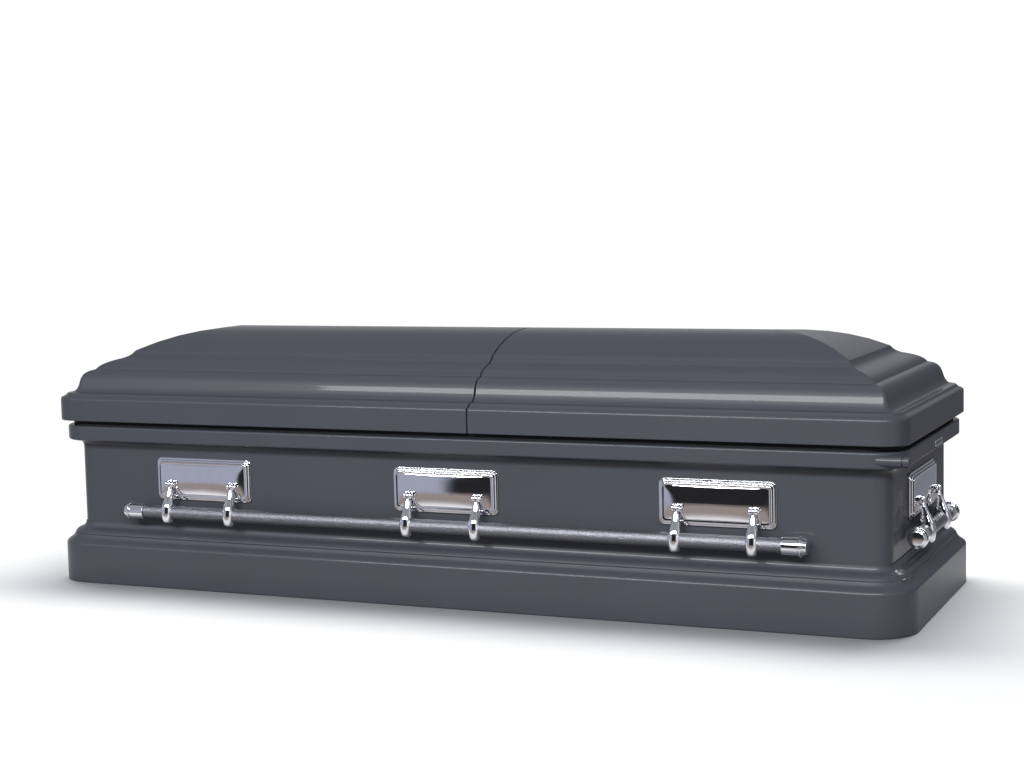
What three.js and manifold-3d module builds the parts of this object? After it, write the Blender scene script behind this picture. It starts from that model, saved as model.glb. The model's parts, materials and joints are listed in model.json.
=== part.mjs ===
// Half-couch casket of sheet steel: a moulded base, a body with a turned-out rim, a mitred dome
// lid in two halves hinged at the back, and a swing-bar handle on each of the four sides.
// Millimetres, +Z up. The origin is under the middle of the base, +X points to the foot end
// and -Y to the front.
import * as THREE from 'three';
import { mergeVertices } from 'three/addons/utils/BufferGeometryUtils.js';
import Module from 'manifold-3d';

const wasm = await Module();
wasm.setup();

// Sheet steel, and the gap kept between pieces that touch
const SHEET = 1.5;
const GAP = 0.3;

// Plan of the base, from which the body's outlines are inset with concentric corners
const BASE_HALF_LENGTH = 1067;
const BASE_HALF_WIDTH = 362;
const BASE_CORNER = 95;
const CORNER_STEPS = 4;

// Base moulding: a flat plinth face under an ogee that runs in to the wall
const FOOT_FLANGE = 72;
const PLINTH_TOP = 97;
const PLINTH_EDGE = 4;
const SHELF_INSET = 17;
const SHELF_TOP = 108;
const ROLL_FOOT_INSET = 21;
const ROLL_FOOT = 115;
const ROLL_INSET = 40;
const ROLL_TOP = 129;
const OGEE_TOP = 144;

// Body: straight walls, and a rim moulding turned out over them
const WALL_INSET = 51.5;
const RIM_INSET = 16;
const RIM_BOTTOM = 350;
const RIM_TOP = 386.5;
const RIM_EDGE = 5;
const RIM_ROUND = 14;
const COVE_BOTTOM = 327;

// Gasket between the rim and the lid
const GASKET_INSET = 30;
const GASKET_WIDTH = 18;

// Lid: a rim band, a stepped moulding and a dome that is mitred at the hips
const LID_HALF_LENGTH = 1057;
const LID_HALF_WIDTH = 352;
const LID_CORNER = 60;
const LID_BOTTOM = 400;
const LID_BAND_TOP = 450;
const LID_EDGE_INSET = 4;
const LID_EDGE_TOP = 457;
const LID_SHELF_INSET = 14;
const LID_SHELF_TOP = 462;
const LID_BEAD_INSET = 18;
const LID_BEAD_TOP = 466;
const LID_COVE_INSET = 27;
const LID_OGEE_INSET = 47;
const LID_OGEE_HEIGHT = 491;
const LID_SHOULDER_INSET = 79;
const LID_SHOULDER_TOP = 521;
const LID_STEP_INSET = 123;
const LID_STEP_TOP = 544;
const LID_DOME_INSET = 150;
const LID_DOME_FOOT = 562.5;
const LID_DOME_PULL = 242;
const LID_RIDGE = 612;
const LID_FLANGE = 38;
const LID_SPLIT = 75;
const LID_SEAM = 3;

// Rear hinges, two on each lid half
const HINGE_PLACES = [-800, -150, 300, 860];
const HINGE_LENGTH = 90;
const HINGE_PIN_BEHIND = 2;
const HINGE_PIN_HEIGHT = 393;
const HINGE_PIN_RADIUS = 2.2;
const HINGE_KNUCKLE_RADIUS = 5;
const HINGE_LEAF = 2;
const HINGE_LEAF_REACH = 38;
const HINGE_CLEAR = 0.5;
const HINGE_SIDES = 6;

// Swing-bar handles. Distances out are from the wall, heights from the floor.
const EAR_SPACING = 645;
const EAR_HALF_WIDTH = 131;
const EAR_HALF_HEIGHT = 51;
const EAR_CENTRE_HEIGHT = 262;
const EAR_CORNER = 13;
const ARM_SPREAD = 86;
const PIVOT_OUT = 20;
const PIVOT_HEIGHT = 250;
const KNUCKLE_RADIUS = 8;
const KNUCKLE_HALF_WIDTH = 4.5;
const LUG_THICKNESS = 4;
const LUG_ROOT = 6;
const PIN_RADIUS = 2.6;
const PIN_SIDES = 6;
const BAR_OUT = 31;
const BAR_HEIGHT = 183;
const BAR_RADIUS = 16;
const BAR_WALL = 2;
const BAR_SIDES = 12;
const BORE_SIDES = 8;
const LONG_BAR_HALF = 851;
const END_BAR_HALF = 190;
const TIP_LENGTH = 54;
const FERRULE_LENGTH = 35;
const FERRULE_RADIUS = 19.5;
const TIP_RING_LENGTH = 8;
const TIP_RING_RADIUS = 23.5;
const TIP_CAP_RADIUS = 17.5;
const TIP_SIDES = 8;

// Record tube in the front corner of the rim at the foot end, and the blank plate beside it
const TUBE_START = 970;
const TUBE_MOUTH = 1047;
const TUBE_END = 1062;
const TUBE_FRONT = 331;
const TUBE_HEIGHT = 368;
const TUBE_RADIUS = 12.5;
const TUBE_NECK_RADIUS = 10.5;
const TUBE_GROOVE = 3;
const TUBE_SIDES = 8;
const PLATE_CENTRE = 24;
const PLATE_LENGTH = 76;
const PLATE_HEIGHT = 13;
const PLATE_BOTTOM = 358;
const PLATE_THICKNESS = 1;

const paint = { color: 0x50525c, roughness: 0.3, metalness: 0.3 };
const chrome = { color: 0xd2d3d6, roughness: 0.08, metalness: 1 };
const pewter = { color: 0x8b8c93, roughness: 0.45, metalness: 1 };
const rubber = { color: 0x0e0e10, roughness: 0.8, metalness: 0 };
const steel = { color: 0x77787d, roughness: 0.4, metalness: 1 };

// Geometry with shared vertices and without the triangles that a merged corner collapses
function weld(geometry) {
  const bare = geometry.clone();
  bare.deleteAttribute('normal');
  bare.deleteAttribute('uv');
  const merged = mergeVertices(bare, 1e-3);
  const kept = [];
  const index = merged.index.array;
  for (let i = 0; i < index.length; i += 3) {
    const [a, b, c] = [index[i], index[i + 1], index[i + 2]];
    if (a !== b && b !== c && c !== a) kept.push(a, b, c);
  }
  merged.setIndex(kept);
  return merged;
}

function solid(geometry) {
  const welded = weld(geometry);
  const vertProperties = new Float32Array(welded.attributes.position.array);
  const triVerts = new Uint32Array(welded.index.array);
  return new wasm.Manifold(new wasm.Mesh({ numProp: 3, vertProperties, triVerts }));
}

function geometryOf(body) {
  const { vertProperties, triVerts } = body.getMesh();
  const geometry = new THREE.BufferGeometry();
  geometry.setAttribute('position', new THREE.BufferAttribute(new Float32Array(vertProperties), 3));
  geometry.setIndex(new THREE.BufferAttribute(new Uint32Array(triVerts), 1));
  geometry.computeVertexNormals();
  return geometry;
}

// A rounded rectangle, counter-clockwise from above. Without a radius its corners are sharp.
function ring(halfX, halfY, radius, z, steps = CORNER_STEPS) {
  const r = Math.max(radius, 0);
  const points = [];
  for (let corner = 0; corner < 4; corner += 1) {
    const centreX = (corner === 0 || corner === 3 ? 1 : -1) * (halfX - r);
    const centreY = (corner < 2 ? 1 : -1) * (halfY - r);
    for (let step = 0; step <= steps; step += 1) {
      const angle = (corner + step / steps) * (Math.PI / 2);
      points.push(new THREE.Vector3(centreX + r * Math.cos(angle), centreY + r * Math.sin(angle), z));
    }
  }
  return points;
}

// Skin over rings of equal counts: a capped body, or a hoop when the last ring joins the first
function loft(rings, hoop = false) {
  const count = rings[0].length;
  const index = [];
  for (let i = 0; i < rings.length - (hoop ? 0 : 1); i += 1) {
    const low = i * count;
    const high = ((i + 1) % rings.length) * count;
    for (let j = 0; j < count; j += 1) {
      const k = (j + 1) % count;
      index.push(low + j, low + k, high + k, low + j, high + k, high + j);
    }
  }
  const last = (rings.length - 1) * count;
  for (let j = 1; j < count - 1 && !hoop; j += 1) {
    index.push(0, j + 1, j, last, last + j, last + j + 1);
  }
  const geometry = new THREE.BufferGeometry();
  const position = rings.flat().flatMap((point) => point.toArray());
  geometry.setAttribute('position', new THREE.Float32BufferAttribute(position, 3));
  geometry.setIndex(index);
  return weld(geometry);
}

// A path moved sideways by a distance, to the right of its direction, with mitred corners
function offset(path, distance) {
  return path.map((point, i) => {
    const before = path[Math.max(i - 1, 0)];
    const after = path[Math.min(i + 1, path.length - 1)];
    const first = (i > 0 ? point.clone().sub(before) : after.clone().sub(point)).normalize();
    const second = (i < path.length - 1 ? after.clone().sub(point) : first.clone()).normalize();
    const mitre = new THREE.Vector2(first.y + second.y, -first.x - second.x).normalize();
    const reach = distance / (mitre.x * second.y - mitre.y * second.x);
    return point.clone().addScaledVector(mitre, reach);
  });
}

// Outline of the base, inset with concentric corners, at a height
function baseRing(inset, z) {
  return ring(BASE_HALF_LENGTH - inset, BASE_HALF_WIDTH - inset, BASE_CORNER - inset, z);
}

// Sheet bent along a path of (inset, height) and run round the base's outline
function sheetHoop(path) {
  const section = [...path, ...offset(path, SHEET).reverse()];
  return loft(section.map((point) => baseRing(point.x, point.y)), true);
}

function block(low, high) {
  const size = high.map((value, i) => value - low[i]);
  const centre = high.map((value, i) => (value + low[i]) / 2);
  return new THREE.BoxGeometry(...size).translate(...centre);
}

function rodAlongX(radius, length, sides) {
  return new THREE.CylinderGeometry(radius, radius, length, sides).rotateZ(Math.PI / 2);
}

// Turned body along +X from (radius, distance) pairs that start and end on the axis
function turnedAlongX(profile, sides) {
  const points = profile.map(([radius, distance]) => new THREE.Vector2(radius, distance));
  return new THREE.LatheGeometry(points, sides).rotateZ(-Math.PI / 2);
}

function add(parent, name, geometry, finish) {
  const mesh = new THREE.Mesh(weld(geometry), new THREE.MeshStandardMaterial(finish));
  mesh.geometry.computeVertexNormals();
  mesh.name = name;
  parent.add(mesh);
  return mesh;
}

const casket = new THREE.Group();

// Base moulding: a foot flange on the floor, the plinth face, a sloping shelf, a roll and a cove
const baseCurveSteps = 2;
const basePath = new THREE.Path()
  .moveTo(FOOT_FLANGE, 0)
  .lineTo(0, 0)
  .lineTo(0, PLINTH_TOP - PLINTH_EDGE)
  .lineTo(PLINTH_EDGE, PLINTH_TOP)
  .lineTo(SHELF_INSET, SHELF_TOP)
  .lineTo(ROLL_FOOT_INSET, ROLL_FOOT)
  .quadraticCurveTo(ROLL_FOOT_INSET + 3, ROLL_TOP - 5, ROLL_INSET, ROLL_TOP)
  .quadraticCurveTo(ROLL_INSET + 7, ROLL_TOP + 3, WALL_INSET - SHEET - GAP, OGEE_TOP)
  .getPoints(baseCurveSteps);
add(casket, 'base_moulding', sheetHoop(basePath), paint);

// Bottom pan on the foot flange, with the walls standing on it
const panBottom = SHEET + GAP;
const panTop = panBottom + SHEET;
add(casket, 'bottom_pan', loft([baseRing(WALL_INSET, panBottom), baseRing(WALL_INSET, panTop)]), paint);

// Body shell: wall, cove, rim face and the inward flange that carries the gasket
const shellCurveSteps = 2;
const shellPath = new THREE.Path()
  .moveTo(WALL_INSET, panTop + GAP)
  .lineTo(WALL_INSET, COVE_BOTTOM)
  .quadraticCurveTo(WALL_INSET, RIM_BOTTOM - 1, RIM_INSET + RIM_ROUND, RIM_BOTTOM - 1)
  .quadraticCurveTo(RIM_INSET, RIM_BOTTOM, RIM_INSET, RIM_BOTTOM + RIM_EDGE)
  .lineTo(RIM_INSET, RIM_TOP - RIM_EDGE)
  .lineTo(RIM_INSET + RIM_EDGE, RIM_TOP)
  .lineTo(WALL_INSET + SHEET, RIM_TOP)
  .getPoints(shellCurveSteps);
const tubePassage = rodAlongX(TUBE_RADIUS + GAP, 2 * (TUBE_END - TUBE_START), TUBE_SIDES)
  .translate(TUBE_END, -TUBE_FRONT, TUBE_HEIGHT);
const shell = solid(sheetHoop(shellPath)).subtract(solid(tubePassage));
add(casket, 'body_shell', geometryOf(shell), paint);

// Gasket lying on the rim's flange
const gasketBottom = RIM_TOP + GAP;
const gasketTop = LID_BOTTOM - GAP;
const gasketSection = [
  [GASKET_INSET, gasketBottom],
  [GASKET_INSET, gasketTop],
  [GASKET_INSET + GASKET_WIDTH, gasketTop],
  [GASKET_INSET + GASKET_WIDTH, gasketBottom],
];
add(casket, 'lid_gasket', loft(gasketSection.map(([inset, z]) => baseRing(inset, z)), true), rubber);

// Lid profile from the band's lower edge to the ridge, as inset and height
const lidCurveSteps = 3;
const lidPath = new THREE.Path()
  .moveTo(0, LID_BOTTOM)
  .lineTo(0, LID_BAND_TOP)
  .lineTo(LID_EDGE_INSET, LID_EDGE_TOP)
  .lineTo(LID_SHELF_INSET, LID_SHELF_TOP)
  .lineTo(LID_BEAD_INSET, LID_BEAD_TOP)
  .lineTo(LID_COVE_INSET, LID_BEAD_TOP + 1)
  .quadraticCurveTo(LID_OGEE_INSET - 6, LID_BEAD_TOP + 3, LID_OGEE_INSET, LID_OGEE_HEIGHT)
  .quadraticCurveTo(LID_OGEE_INSET + 7, LID_SHOULDER_TOP - 5, LID_SHOULDER_INSET, LID_SHOULDER_TOP)
  .quadraticCurveTo(LID_SHOULDER_INSET + 11, LID_STEP_TOP - 8, LID_STEP_INSET, LID_STEP_TOP)
  .quadraticCurveTo(LID_DOME_INSET - 9, LID_STEP_TOP + 5, LID_DOME_INSET, LID_DOME_FOOT)
  .quadraticCurveTo(LID_DOME_PULL, LID_RIDGE, LID_HALF_WIDTH, LID_RIDGE)
  .getPoints(lidCurveSteps);

function lidRings(path) {
  return path.map(({ x: inset, y: z }) => ring(
    LID_HALF_LENGTH - inset,
    LID_HALF_WIDTH - inset,
    LID_CORNER - inset,
    z,
  ));
}

const lidInnerPath = offset(lidPath, SHEET);
lidInnerPath[0].y = LID_BOTTOM + SHEET;
lidInnerPath.at(-1).x = LID_HALF_WIDTH;
const lidOuter = solid(loft(lidRings(lidPath)));
const lidHollow = solid(loft(lidRings(lidInnerPath)));
const mouthPath = [
  new THREE.Vector2(LID_FLANGE, LID_BOTTOM - SHEET),
  new THREE.Vector2(LID_FLANGE, LID_BOTTOM + 2 * SHEET),
];
const lidMouth = solid(loft(lidRings(mouthPath)));

// Each half ends at the split in a turned-in header, open in the middle. The opening's half
// outline follows the lid's profile at a distance, as half width and height.
const headerSide = LID_HALF_WIDTH - LID_FLANGE;
const headerOpening = [
  [headerSide, LID_BOTTOM - LID_SEAM],
  [headerSide, LID_BAND_TOP],
  [LID_HALF_WIDTH - LID_SHOULDER_INSET - 11, LID_OGEE_HEIGHT + 7],
  [LID_HALF_WIDTH - LID_DOME_INSET - 20, LID_STEP_TOP - 1],
  [0, LID_RIDGE - 27],
];
const headerShape = new THREE.Shape();
headerShape.moveTo(...headerOpening[0]);
headerOpening.slice(1).forEach(([y, z]) => headerShape.lineTo(y, z));
headerOpening.slice(0, -1).reverse().forEach(([y, z]) => headerShape.lineTo(-y, z));
const headerDepth = LID_SEAM + 4 * SHEET;
const headerCut = new THREE.ExtrudeGeometry(headerShape, { depth: headerDepth, bevelEnabled: false });
headerCut.applyMatrix4(new THREE.Matrix4().makeBasis(
  new THREE.Vector3(0, 1, 0),
  new THREE.Vector3(0, 0, 1),
  new THREE.Vector3(1, 0, 0),
));
headerCut.translate(LID_SPLIT - headerDepth / 2, 0, 0);
const header = solid(headerCut);

function lidHalf(from, to, hollowFrom, hollowTo) {
  const slab = (x0, x1) => solid(block([x0, -LID_HALF_WIDTH, 0], [x1, LID_HALF_WIDTH, 2 * LID_RIDGE]));
  const half = lidOuter.intersect(slab(from, to));
  return half.subtract(lidHollow.intersect(slab(hollowFrom, hollowTo))).subtract(lidMouth).subtract(header);
}

const beyondHead = -2 * LID_HALF_LENGTH;
const beyondFoot = 2 * LID_HALF_LENGTH;
const headEdge = LID_SPLIT - LID_SEAM / 2;
const footEdge = LID_SPLIT + LID_SEAM / 2;
add(casket, 'head_lid', geometryOf(lidHalf(beyondHead, headEdge, beyondHead, headEdge - SHEET)), paint);
add(casket, 'foot_lid', geometryOf(lidHalf(footEdge, beyondFoot, footEdge + SHEET, beyondFoot)), paint);

// Butt hinges on the back. The body leaf has the two outer knuckles and the pin, the lid leaf
// the middle knuckle that turns on it.
const rimBack = BASE_HALF_WIDTH - RIM_INSET + GAP;
const lidBack = LID_HALF_WIDTH + GAP;
const pinBack = LID_HALF_WIDTH + HINGE_PIN_BEHIND;
const knucklePitch = HINGE_LENGTH / 3;
const knuckleReach = knucklePitch / 2 - HINGE_CLEAR;

function hingeRod(radius, length, x) {
  return solid(rodAlongX(radius, length, HINGE_SIDES).translate(x, pinBack, HINGE_PIN_HEIGHT));
}

function hingeBodyLeaf() {
  const half = HINGE_LENGTH / 2;
  const top = HINGE_PIN_HEIGHT - HINGE_KNUCKLE_RADIUS - HINGE_CLEAR;
  const leaf = block([-half, rimBack, top - HINGE_LEAF_REACH], [half, rimBack + HINGE_LEAF, top]);
  let body = solid(leaf).add(hingeRod(HINGE_PIN_RADIUS, 2 * knucklePitch, 0));
  [-knucklePitch, knucklePitch].forEach((middle) => {
    const web = block(
      [middle - knuckleReach, rimBack, top - HINGE_LEAF],
      [middle + knuckleReach, pinBack, HINGE_PIN_HEIGHT],
    );
    body = body.add(hingeRod(HINGE_KNUCKLE_RADIUS, 2 * knuckleReach, middle)).add(solid(web));
  });
  return geometryOf(body);
}

function hingeLidLeaf() {
  const half = HINGE_LENGTH / 2;
  const bottom = HINGE_PIN_HEIGHT + HINGE_KNUCKLE_RADIUS + HINGE_LEAF;
  const leaf = block([-half, lidBack, bottom], [half, lidBack + HINGE_LEAF, bottom + HINGE_LEAF_REACH]);
  const web = block([-knuckleReach, lidBack, HINGE_PIN_HEIGHT], [knuckleReach, lidBack + HINGE_LEAF, bottom]);
  const barrel = hingeRod(HINGE_KNUCKLE_RADIUS, 2 * knuckleReach, 0);
  const bore = hingeRod(HINGE_PIN_RADIUS + 2 * GAP, HINGE_LENGTH, 0);
  return geometryOf(solid(leaf).add(solid(web)).add(barrel).subtract(bore));
}

const bodyLeaf = hingeBodyLeaf();
const lidLeaf = hingeLidLeaf();
HINGE_PLACES.forEach((place, i) => {
  add(casket, `hinge_body_leaf_${i + 1}`, bodyLeaf, steel).position.x = place;
  add(casket, `hinge_lid_leaf_${i + 1}`, lidLeaf, steel).position.x = place;
});

// Ear plate of a handle: a thin flange, a stepped border and a cushioned face, with a pair of
// lugs and a pin for each arm. It lies against a wall that faces -Y.
const EAR_STEPS = [[0, 0], [0, 2.5], [5, 3], [6, 5.5], [20, 9], [36, 10.5]];

function earGeometry() {
  const rings = EAR_STEPS.map(([inset, out]) => ring(
    EAR_HALF_WIDTH - inset,
    EAR_HALF_HEIGHT - inset,
    Math.max(EAR_CORNER - inset / 2, 3),
    out + GAP,
    1,
  ));
  const plate = loft(rings).rotateX(Math.PI / 2).translate(0, 0, EAR_CENTRE_HEIGHT);
  const outline = new THREE.Shape()
    .moveTo(LUG_ROOT, PIVOT_HEIGHT + KNUCKLE_RADIUS)
    .lineTo(LUG_ROOT, PIVOT_HEIGHT - KNUCKLE_RADIUS)
    .lineTo(PIVOT_OUT, PIVOT_HEIGHT - KNUCKLE_RADIUS)
    .lineTo(PIVOT_OUT + KNUCKLE_RADIUS, PIVOT_HEIGHT)
    .lineTo(PIVOT_OUT, PIVOT_HEIGHT + KNUCKLE_RADIUS);
  const lug = new THREE.ExtrudeGeometry(outline, { depth: LUG_THICKNESS, bevelEnabled: false });
  lug.applyMatrix4(new THREE.Matrix4().makeBasis(
    new THREE.Vector3(0, -1, 0),
    new THREE.Vector3(0, 0, 1),
    new THREE.Vector3(-1, 0, 0),
  ));
  const inner = KNUCKLE_HALF_WIDTH + GAP;
  const pin = rodAlongX(PIN_RADIUS, 2 * inner + LUG_THICKNESS, PIN_SIDES);
  let ear = solid(plate);
  [-ARM_SPREAD, ARM_SPREAD].forEach((arm) => {
    [arm - inner, arm + inner + LUG_THICKNESS].forEach((edge) => {
      ear = ear.add(solid(lug.clone().translate(edge, 0, 0)));
    });
    ear = ear.add(solid(pin.clone().translate(arm, -PIVOT_OUT, PIVOT_HEIGHT)));
  });
  return geometryOf(ear);
}

// Arm: a knuckle that turns on the pin, a neck that swells to a drop-shaped boss, and the bar's
// bore. Each row gives the height, the half width, how far out the back and the front are, and
// the chamfer of the edges.
const ARM_ROWS = [
  [BAR_HEIGHT - 23, 9, BAR_OUT - 12, BAR_OUT + 12, 4],
  [BAR_HEIGHT - 18, 12.5, BAR_OUT - 20, BAR_OUT + 20, 2],
  [BAR_HEIGHT + 18, 13.5, BAR_OUT - 20, BAR_OUT + 20, 2],
  [PIVOT_HEIGHT - KNUCKLE_RADIUS - 3, 8.5, PIVOT_OUT - 6, PIVOT_OUT + 12, 3],
  [PIVOT_HEIGHT - KNUCKLE_RADIUS - 1, KNUCKLE_HALF_WIDTH, PIVOT_OUT - 6, PIVOT_OUT + 11, 1],
  [PIVOT_HEIGHT + KNUCKLE_RADIUS, KNUCKLE_HALF_WIDTH, PIVOT_OUT - 4, PIVOT_OUT + 4, 1],
];

function armGeometry() {
  const rings = ARM_ROWS.map(([z, halfWidth, back, front, chamfer]) => {
    const outline = ring(halfWidth, (front - back) / 2, chamfer, z, 1);
    return outline.map((point) => point.setY(point.y - (front + back) / 2));
  });
  const pinBore = rodAlongX(PIN_RADIUS + 2 * GAP, 4 * KNUCKLE_RADIUS, PIN_SIDES);
  pinBore.translate(0, -PIVOT_OUT, PIVOT_HEIGHT);
  const boreRadius = (BAR_RADIUS + GAP) / Math.cos(Math.PI / BORE_SIDES);
  const barBore = rodAlongX(boreRadius, 4 * BAR_RADIUS, BORE_SIDES);
  barBore.translate(0, -BAR_OUT, BAR_HEIGHT);
  return geometryOf(solid(loft(rings)).subtract(solid(pinBore)).subtract(solid(barBore)));
}

// Bar: a tube that runs through the arms, with a tip closing each end
function barGeometry(half) {
  const tubeHalf = half - TIP_LENGTH - GAP;
  const outline = new THREE.Shape().absarc(0, 0, BAR_RADIUS, 0, 2 * Math.PI, false);
  outline.holes.push(new THREE.Path().absarc(0, 0, BAR_RADIUS - BAR_WALL, 0, 2 * Math.PI, true));
  const tube = new THREE.ExtrudeGeometry(outline, {
    depth: 2 * tubeHalf,
    bevelEnabled: false,
    curveSegments: BAR_SIDES / 2,
  });
  return tube.translate(0, 0, -tubeHalf).rotateY(Math.PI / 2).translate(0, -BAR_OUT, BAR_HEIGHT);
}

// Tip: a ferrule, a raised ring and a smaller end cap, turned as one
function tipGeometry() {
  const ringEnd = FERRULE_LENGTH + TIP_RING_LENGTH;
  return turnedAlongX([
    [0, 0],
    [FERRULE_RADIUS, 0],
    [FERRULE_RADIUS, FERRULE_LENGTH],
    [TIP_RING_RADIUS, FERRULE_LENGTH],
    [TIP_RING_RADIUS, ringEnd],
    [TIP_CAP_RADIUS, ringEnd],
    [TIP_CAP_RADIUS, TIP_LENGTH],
    [0, TIP_LENGTH],
  ], TIP_SIDES);
}

const ear = earGeometry();
const arm = armGeometry();
const tip = tipGeometry();

function addHandle(side, wall, turn, stations, barHalf) {
  const handle = new THREE.Group();
  handle.position.copy(wall);
  handle.rotation.z = turn;
  stations.forEach((station, i) => {
    add(handle, `ear_${side}_${i + 1}`, ear, chrome).position.x = station;
    [-ARM_SPREAD, ARM_SPREAD].forEach((spread, j) => {
      add(handle, `arm_${side}_${2 * i + j + 1}`, arm, chrome).position.x = station + spread;
    });
  });
  add(handle, `bar_${side}`, barGeometry(barHalf), pewter);
  [-1, 1].forEach((end, i) => {
    const piece = add(handle, `tip_${side}_${i + 1}`, tip, chrome);
    piece.rotation.z = end < 0 ? Math.PI : 0;
    piece.position.set(end * (barHalf - TIP_LENGTH), -BAR_OUT, BAR_HEIGHT);
  });
  casket.add(handle);
}

const wallSide = BASE_HALF_WIDTH - WALL_INSET;
const wallEnd = BASE_HALF_LENGTH - WALL_INSET;
const sideStations = [-EAR_SPACING, 0, EAR_SPACING];
addHandle('front', new THREE.Vector3(0, -wallSide, 0), 0, sideStations, LONG_BAR_HALF);
addHandle('rear', new THREE.Vector3(0, wallSide, 0), Math.PI, sideStations, LONG_BAR_HALF);
addHandle('head_end', new THREE.Vector3(-wallEnd, 0, 0), -Math.PI / 2, [0], END_BAR_HALF);
addHandle('foot_end', new THREE.Vector3(wallEnd, 0, 0), Math.PI / 2, [0], END_BAR_HALF);

// Record tube let into the rim, and the screw cap on its mouth
const tubeLength = TUBE_MOUTH - TUBE_START;
const capLength = TUBE_END - TUBE_MOUTH;
const recordTube = turnedAlongX([
  [0, 0],
  [TUBE_RADIUS, 0],
  [TUBE_RADIUS, tubeLength],
  [TUBE_RADIUS - SHEET, tubeLength],
  [TUBE_RADIUS - SHEET, SHEET],
  [0, SHEET],
], TUBE_SIDES);
const recordCap = turnedAlongX([
  [0, GAP],
  [TUBE_NECK_RADIUS, GAP],
  [TUBE_NECK_RADIUS, TUBE_GROOVE],
  [TUBE_RADIUS, TUBE_GROOVE],
  [TUBE_RADIUS, capLength],
  [0, capLength],
], TUBE_SIDES);
add(casket, 'record_tube', recordTube, paint).position.set(TUBE_START, -TUBE_FRONT, TUBE_HEIGHT);
add(casket, 'record_tube_cap', recordCap, paint).position.set(TUBE_MOUTH, -TUBE_FRONT, TUBE_HEIGHT);

// Blank plate on the rim's face at the foot end
const plateFace = BASE_HALF_LENGTH - RIM_INSET + GAP;
const blankPlate = block(
  [plateFace, PLATE_CENTRE - PLATE_LENGTH / 2, PLATE_BOTTOM],
  [plateFace + PLATE_THICKNESS, PLATE_CENTRE + PLATE_LENGTH / 2, PLATE_BOTTOM + PLATE_HEIGHT],
);
add(casket, 'blank_plate', blankPlate, steel);

export default casket;
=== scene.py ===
# Half-couch casket of painted sheet steel with chrome swing-bar handles, closed and empty inside.
# Metres, +Z up. The origin is under the middle of the base, +X points to the foot end and -Y to
# the front.
import json
import math

import bmesh
import bpy
from mathutils import Matrix, Vector, noise

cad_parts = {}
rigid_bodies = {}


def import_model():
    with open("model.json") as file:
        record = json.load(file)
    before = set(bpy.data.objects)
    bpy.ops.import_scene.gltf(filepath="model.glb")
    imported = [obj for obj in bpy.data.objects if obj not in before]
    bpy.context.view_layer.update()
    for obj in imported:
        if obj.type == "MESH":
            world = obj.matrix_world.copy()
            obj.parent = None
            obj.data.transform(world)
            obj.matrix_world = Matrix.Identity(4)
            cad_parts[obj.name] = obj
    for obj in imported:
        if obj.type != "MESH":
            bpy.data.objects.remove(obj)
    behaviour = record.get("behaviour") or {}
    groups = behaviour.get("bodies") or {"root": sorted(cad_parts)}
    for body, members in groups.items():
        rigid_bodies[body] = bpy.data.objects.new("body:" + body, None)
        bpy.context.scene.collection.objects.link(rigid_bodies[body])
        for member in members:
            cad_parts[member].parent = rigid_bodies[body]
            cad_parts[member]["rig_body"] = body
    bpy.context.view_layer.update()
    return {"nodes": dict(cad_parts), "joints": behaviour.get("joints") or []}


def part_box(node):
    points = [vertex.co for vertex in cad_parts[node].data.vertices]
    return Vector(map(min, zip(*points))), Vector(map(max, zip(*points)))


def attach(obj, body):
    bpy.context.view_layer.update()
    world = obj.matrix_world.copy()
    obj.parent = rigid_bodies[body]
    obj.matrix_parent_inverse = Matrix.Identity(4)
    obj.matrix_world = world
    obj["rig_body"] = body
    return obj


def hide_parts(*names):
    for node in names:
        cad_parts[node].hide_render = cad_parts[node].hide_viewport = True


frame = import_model()


# Base moulding
# The plinth skirt that the casket stands on: one strip of 16-gauge steel, rolled to a plinth face,
# a sloping shelf, a roll and a cove, bent round the corners, welded and painted slate grey.
SHEET = 0.0015
WELD = 0.00002
HOLD = 0.001
CURVE_STEP = math.radians(7)
base_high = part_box("base_moulding")[1]
shell_low, shell_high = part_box("body_shell")
BASE_CORNER = 0.095
base_top = base_high.z
wall_inset = 0.0515
plinth_top = 0.097
foot_flange = 0.072


def moulded(corners):
    """Profile of (inset, height) points through corners, each with how far its rounding reaches back
    and ahead along the profile. Straight stretches get a holding point beside each rounding."""
    points = [Vector(corner[:2]) for corner in corners]
    reaches = [(corner[2], corner[-1]) if len(corner) > 2 else (0, 0) for corner in corners]
    profile = [points[0]]
    for i in range(1, len(points) - 1):
        back = points[i - 1] - points[i]
        ahead = points[i + 1] - points[i]
        start = points[i] + back.normalized() * reaches[i][0]
        end = points[i] + ahead.normalized() * reaches[i][1]
        steps = max(2, math.ceil(ahead.angle(-back) / CURVE_STEP))
        if back.length - reaches[i][0] - reaches[i - 1][1] > 3 * HOLD:
            profile.append(start + back.normalized() * HOLD)
        for step in range(steps + 1):
            t = step / steps
            profile.append(start * (1 - t) ** 2 + points[i] * 2 * t * (1 - t) + end * t * t)
        if ahead.length - reaches[i][1] - reaches[i + 1][0] > 3 * HOLD:
            profile.append(end + ahead.normalized() * HOLD)
    return profile + [points[-1]]


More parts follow.
